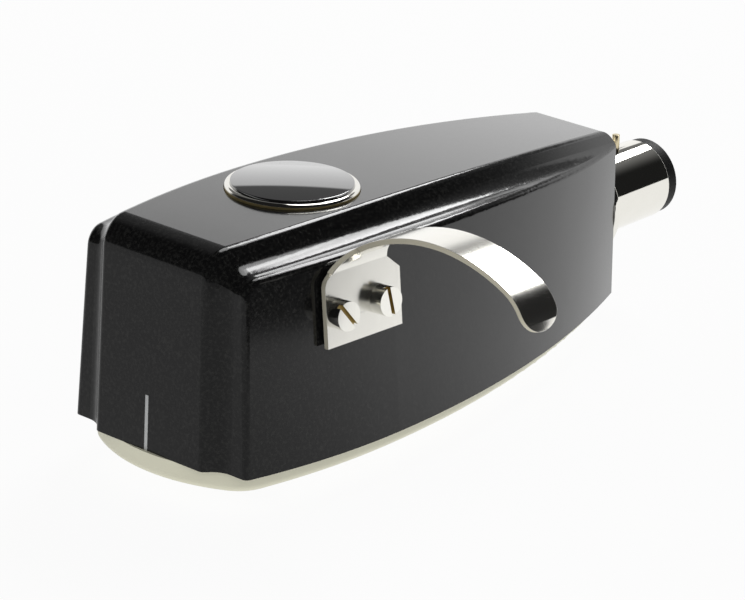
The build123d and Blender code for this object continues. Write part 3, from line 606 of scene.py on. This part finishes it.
# %% Disc, insulator, bracket, damper, board and magnet
FIBRES = (0.3, 2.0, 2.0)
CASTING = (1.0, 0.3, 1.0)
BOARD_DEEP = (0.24, 0.13, 0.05)
BOARD_PALE = (0.40, 0.24, 0.11)
ALLOY_DEEP = (0.09, 0.09, 0.095)
ALLOY_PALE = (0.17, 0.17, 0.175)

disc = moulded(
    "polished_black", grey(0.004), grey(0.007), rough=0.04, per_mm=1.0, depth_mm=0.0004, coat=1.0, ior=2.5
)
insulator = moulded("dull_black", grey(0.004), grey(0.008), rough=0.45, per_mm=5.0, depth_mm=0.006, ior=1.25)
carrier = moulded("moulded_carrier", grey(0.05), grey(0.08), rough=0.5, per_mm=4.0, depth_mm=0.008)
rubber = moulded("soft_rubber", grey(0.015), grey(0.03), rough=0.75, per_mm=6.0, depth_mm=0.01)
laminate = moulded("laminate", BOARD_DEEP, BOARD_PALE, rough=0.5, per_mm=2.0, depth_mm=0.01, stretch=FIBRES)
alloy = moulded(
    "magnet_alloy", ALLOY_DEEP, ALLOY_PALE, rough=0.45, per_mm=4.0, depth_mm=0.012, stretch=CASTING
)
dress(disc, "black_gloss", "badge_dome")
dress(insulator, "black_matte", "plug_insulator")
dress(carrier, "bracket", "generator_bracket")
dress(rubber, "rubber", "damper_ring")
dress(laminate, "board", "terminal_board")
dress(alloy, "magnet_alloy", "magnet")

# %% [markdown]
# ### Coloured leads
#
# Each of the four lead wires has its own colour, so that they can be told apart. A loop gives each its
# finish, from the same function as the mouldings.

# %% Colours of the leads
LEAD_COLOURS = {
    "white": (0.80, 0.80, 0.78),
    "blue": (0.05, 0.12, 0.50),
    "green": (0.03, 0.34, 0.12),
    "red": (0.58, 0.04, 0.03),
}
LEAD_WORN = 0.85

for colour, shade in LEAD_COLOURS.items():
    worn = tuple(LEAD_WORN * level for level in shade)
    sleeve = moulded("lead_" + colour, worn, shade, rough=0.42, per_mm=3.0, depth_mm=0.004)
    dress(sleeve, "lead_" + colour, "lead_wire_" + colour)

# %% [markdown]
# ### Copper windings and the diamond
#
# The coils are wound from enamelled wire, so their surface is a row of fine turns. Modelled turns would
# be thousands of faces that hardly show. A wave across each coil's arm gives the same rows, and it also
# paints the grooves between the turns a deeper copper, which is painted shade. The point is a polished
# diamond.

# %% Copper on the coils
# The deeper copper is painted shade in the grooves between the turns
COPPER_GROOVE_SHADE = (0.36, 0.10, 0.035)
COPPER_PALE = (0.72, 0.30, 0.13)
COIL_TILT = radians(22.0)
COIL_SLANT = {"left": pi / 4, "right": -pi / 4}
WAVE = {"Scale": 3.2, "Distortion": 0.4}
WAVE_OUTPUT = 1

for coil_side, slant in COIL_SLANT.items():
    copper, place = start_finish("copper_winding_" + coil_side)
    turned = place.node("ShaderNodeMapping", inputs={"Vector": place, "Rotation": (COIL_TILT, slant, 0.0)})
    turns = place.node("ShaderNodeTexWave", inputs={"Vector": turned, **WAVE}, output=WAVE_OUTPUT)
    end_finish(
        place,
        colour=two_tone(turns, COPPER_GROOVE_SHADE, COPPER_PALE),
        roughness=between(turns, low=0.32, high=0.22),
        bump=relief(turns, depth_mm=0.03, strength=0.7),
        others={"Metallic": 1.0},
    )
    dress(copper, "copper", "coil_" + coil_side)

# %% Diamond on the point
DIAMOND_DEEP = (0.86, 0.87, 0.90)
DIAMOND_PALE = (0.93, 0.94, 0.96)

diamond, place = start_finish("diamond")
facets = grain(place, per_mm=8.0)
end_finish(
    place,
    colour=two_tone(facets, DIAMOND_DEEP, DIAMOND_PALE),
    roughness=between(facets, low=0.02, high=0.06),
    bump=relief(facets, depth_mm=0.002, strength=0.3),
    others={"IOR": 2.0},
)
dress(diamond, "diamond", "stylus_tip")
print("finishes", len(bpy.data.materials))

# %% [markdown]
# ## Rounded edges
#
# Small metal pieces are tumbled and polished, so their edges are a little round, and each edge catches
# a thin line of light. The edges could be rounded one by one by hand. Here a copy of the solid is welded,
# its flat triangles are joined into whole faces, and one Bevel modifier rounds every edge that is sharper
# than an angle. The copy then stands for the solid.

# %% Round the edges of the plated pieces
WELD = 0.0002 * MM
FLAT_ANGLE = radians(0.5)
SHARP_ANGLE = radians(40.0)
EDGE_SEGMENTS = 3
# The highest weight of a Weighted Normal modifier, at which the largest face decides the shading
LARGEST_FACE_DECIDES = 100


def soften(piece, radius, segments):
    """Round the sharp edges of the active piece and shade the rest smooth."""
    rounding = piece.modifiers.new("rounding", "BEVEL")
    rounding.width = radius
    rounding.segments = segments
    rounding.limit_method = "ANGLE"
    rounding.angle_limit = SHARP_ANGLE
    bpy.ops.object.modifier_apply(modifier=rounding.name)
    bpy.ops.object.shade_smooth_by_angle(angle=SHARP_ANGLE)


def round_edges(name, radius_mm):
    """A copy of a solid with rounded edges, which stands for it."""
    piece = bpy.data.objects.new(name + "_rounded", NODES[name].data.copy())
    bpy.context.scene.collection.objects.link(piece)
    bpy.ops.object.select_all(action="DESELECT")
    bpy.context.view_layer.objects.active = piece
    piece.select_set(True)
    bpy.ops.object.mode_set(mode="EDIT")
    bpy.ops.mesh.select_all(action="SELECT")
    bpy.ops.mesh.remove_doubles(threshold=WELD)
    bpy.ops.mesh.dissolve_limited(angle_limit=FLAT_ANGLE)
    bpy.ops.object.mode_set(mode="OBJECT")
    soften(piece, radius_mm * MM, EDGE_SEGMENTS)
    flats = piece.modifiers.new("flats", "WEIGHTED_NORMAL")
    flats.weight = LARGEST_FACE_DECIDES
    flats.keep_sharp = True
    bpy.ops.object.modifier_apply(modifier=flats.name)
    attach(piece, "head")
    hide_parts(name)
    print(piece.name, "faces", len(piece.data.polygons))
    return piece


lift = round_edges("finger_lift", 0.12)
lift_screws = round_edges("finger_lift_screws", 0.1)
round_edges("plug_sleeve", 0.12)
round_edges("locating_pin", 0.08)

# %% [markdown]
# ### Cut edges of the lift
#
# The material of the lift needs to know which faces are cut edges. They could be picked by hand. A broad
# face of the sheet has its other side one sheet's thickness behind it, and on a cut edge the way through
# the metal is longer, so a ray from each face into the metal tells the two apart.

# %% Mark the lift's cut edges
# More than the sheet's thickness, and less than the way through a cut edge
THROUGH_SHEET = 0.95 * MM
# A ray starts a hair off its face, and one that meets nothing counts as going far
HAIR = 0.002 * MM
FAR = 1.0


def points_on_faces(piece):
    """A point on each face: the middle of its largest triangle, since a bent face's centre lies off it."""
    piece.data.calc_loop_triangles()
    triangles = sorted(piece.data.loop_triangles, key=lambda triangle: triangle.area)
    return {triangle.polygon_index: triangle.center.copy() for triangle in triangles}


def free_way(piece, start, way):
    """How far a ray goes before it meets the piece."""
    hit, spot, _, _ = piece.ray_cast(start + way * HAIR, way)
    return (spot - start).length if hit else FAR


def mark_faces(piece, name, chosen):
    """Give each face a number for the material to read: 1 for the chosen faces, 0 for the others."""
    marks = piece.data.attributes.new(name, "FLOAT", "FACE")
    for index in chosen:
        marks.data[index].value = 1.0
    print(piece.name, name, len(chosen), "of", len(piece.data.polygons))


spots = points_on_faces(lift)
through = {face.index: free_way(lift, spots[face.index], -face.normal) for face in lift.data.polygons}
mark_faces(lift, CUT_EDGE, [index for index, way in through.items() if way > THROUGH_SHEET])

# %% [markdown]
# ### Slots of the screws
#
# The screws are plated too, but a slot is cut last and shows the yellow metal below. A slot's wall has
# the other wall in front of it, and a slot's floor lies below the face of the head, so both can be found
# without picking faces by hand.

# %% Mark the slots of the lift's screws
SLOT_WIDEST = 0.6 * MM
SLOT_SHALLOWEST = 0.2 * MM
SLOT_DEEPEST = 1.2 * MM
NEARLY_ALONG = 0.9

spots = points_on_faces(lift_screws)
screw_faces = lift_screws.data.polygons
outer_faces = [face for face in screw_faces if face.normal.x > NEARLY_ALONG]
head_face = max(outer_faces, key=lambda face: face.area)
axis = head_face.normal.copy()
level = spots[head_face.index].dot(axis)
slots = []
for face in screw_faces:
    below = level - spots[face.index].dot(axis)
    wall = free_way(lift_screws, spots[face.index], face.normal) < SLOT_WIDEST
    bottom = face.normal.dot(axis) > NEARLY_ALONG and below > SLOT_SHALLOWEST
    if below < SLOT_DEEPEST and (wall or bottom):
        slots.append(face.index)
mark_faces(lift_screws, SLOT_WALL, slots)

# %% [markdown]
# ## Badge disc
#
# The badge is a black disc, polished and slightly domed, that lies in its bright ring nearly up to the
# ring's top. A slice of a sphere would do. Insetting and lifting the top of a short cylinder again and
# again gives the same crown with even rings of faces, which a mirror finish needs.

# %% Model the badge disc
DISC_RADIUS = 5.4 * MM
DISC_FOOT = -0.6 * MM
DISC_EDGE = 0.4 * MM
DISC_CROWN = 0.26 * MM
DISC_RINGS = 18
DISC_SIDES = 128

bpy.ops.object.select_all(action="DESELECT")
bpy.ops.mesh.primitive_cylinder_add(vertices=DISC_SIDES, radius=DISC_RADIUS, depth=DISC_EDGE - DISC_FOOT)
badge = bpy.context.object
badge.name = "badge_disc"
bpy.ops.object.mode_set(mode="EDIT")
bpy.ops.mesh.select_all(action="SELECT")
bpy.ops.transform.translate(value=(0.0, 0.0, (DISC_EDGE + DISC_FOOT) / 2))
bpy.ops.object.mode_set(mode="OBJECT")
for face in badge.data.polygons:
    face.select = face.normal.z > NEARLY_ALONG
bpy.ops.object.mode_set(mode="EDIT")
for ring in range(DISC_RINGS):
    outer, inner = 1 - ring / (DISC_RINGS + 1), 1 - (ring + 1) / (DISC_RINGS + 1)
    step_up = DISC_CROWN * (outer**2 - inner**2)
    bpy.ops.mesh.inset(thickness=DISC_RADIUS * (outer - inner), depth=step_up)
print(badge.name, "with", DISC_RINGS, "rings of", DISC_SIDES, "faces")

# %% Lay the badge disc in its ring
ORIGIN = (0.0, 0.0, 0.0)
BADGE_CENTRE = Vector((0.0, BADGE_STATION, BADGE_HEIGHT)) * MM
DISC_ROUND = 0.06 * MM
SMALL_SEGMENTS = 2

bpy.ops.mesh.select_all(action="SELECT")
bpy.ops.transform.rotate(value=BADGE_LEAN, orient_axis="X", center_override=ORIGIN)
bpy.ops.transform.translate(value=BADGE_CENTRE)
bpy.ops.object.mode_set(mode="OBJECT")
soften(badge, DISC_ROUND, SMALL_SEGMENTS)
badge.data.materials.append(disc)
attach(badge, "head")
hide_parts("badge_dome")
print("badge disc", len(badge.data.polygons), "faces", in_mm(badge.dimensions))

# %% [markdown]
# ## Index mark
#
# A pale line on the front panel shows where the point is, for setting the head down on a record. It is
# paint in a fine stroke. A mask in the lacquer could draw it, but a thin bar with rounded edges, laid on
# the panel, keeps its sharp outline in any view. The panel leans back a little, and the bar leans with it.

# %% Model the index mark
MARK_WIDTH = 0.38 * MM
MARK_SHIFT = -0.3 * MM
MARK_LENGTH = 5.28 * MM
MARK_THICK = 0.03 * MM
MARK_ROUND = 0.45 * MARK_THICK
PANEL_SETBACK = 0.9 * MM
PANEL_RISE = 21.0 * MM
PANEL_LEAN = PANEL_SETBACK / PANEL_RISE
PANEL_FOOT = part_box("shell")[0]

bpy.ops.object.select_all(action="DESELECT")
bpy.ops.mesh.primitive_cube_add(size=1.0)
mark = bpy.context.object
mark.name = "index_mark"
bpy.ops.object.mode_set(mode="EDIT")
bpy.ops.mesh.select_all(action="SELECT")
bpy.ops.transform.resize(value=(MARK_WIDTH, MARK_THICK, MARK_LENGTH))
bpy.ops.transform.translate(value=(0.0, 0.0, MARK_LENGTH / 2))
bpy.ops.transform.rotate(value=PANEL_LEAN, orient_axis="X", center_override=ORIGIN)
bpy.ops.transform.translate(value=(MARK_SHIFT, PANEL_FOOT.y, PANEL_FOOT.z))
bpy.ops.object.mode_set(mode="OBJECT")
soften(mark, MARK_ROUND, SMALL_SEGMENTS)
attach(mark, "head")
print("index mark", in_mm(mark.dimensions))

# %% Paint the index mark
PAINT_DEEP = (0.46, 0.47, 0.47)
PAINT_PALE = (0.56, 0.57, 0.57)

paint, place = start_finish("index_paint")
brushed = grain(place, per_mm=3.0, detail=3.0)
end_finish(
    place,
    colour=two_tone(brushed, PAINT_DEEP, PAINT_PALE),
    roughness=between(brushed, low=0.4, high=0.55),
    bump=relief(brushed, depth_mm=0.004, strength=0.4),
)
mark.data.materials.append(paint)
print(paint.name, "on", mark.name)

# %% [markdown]
# ## Colour management
#
# The Standard view transform shows colours as they are written.

# %% Finish
bpy.context.scene.view_settings.view_transform = "Standard"
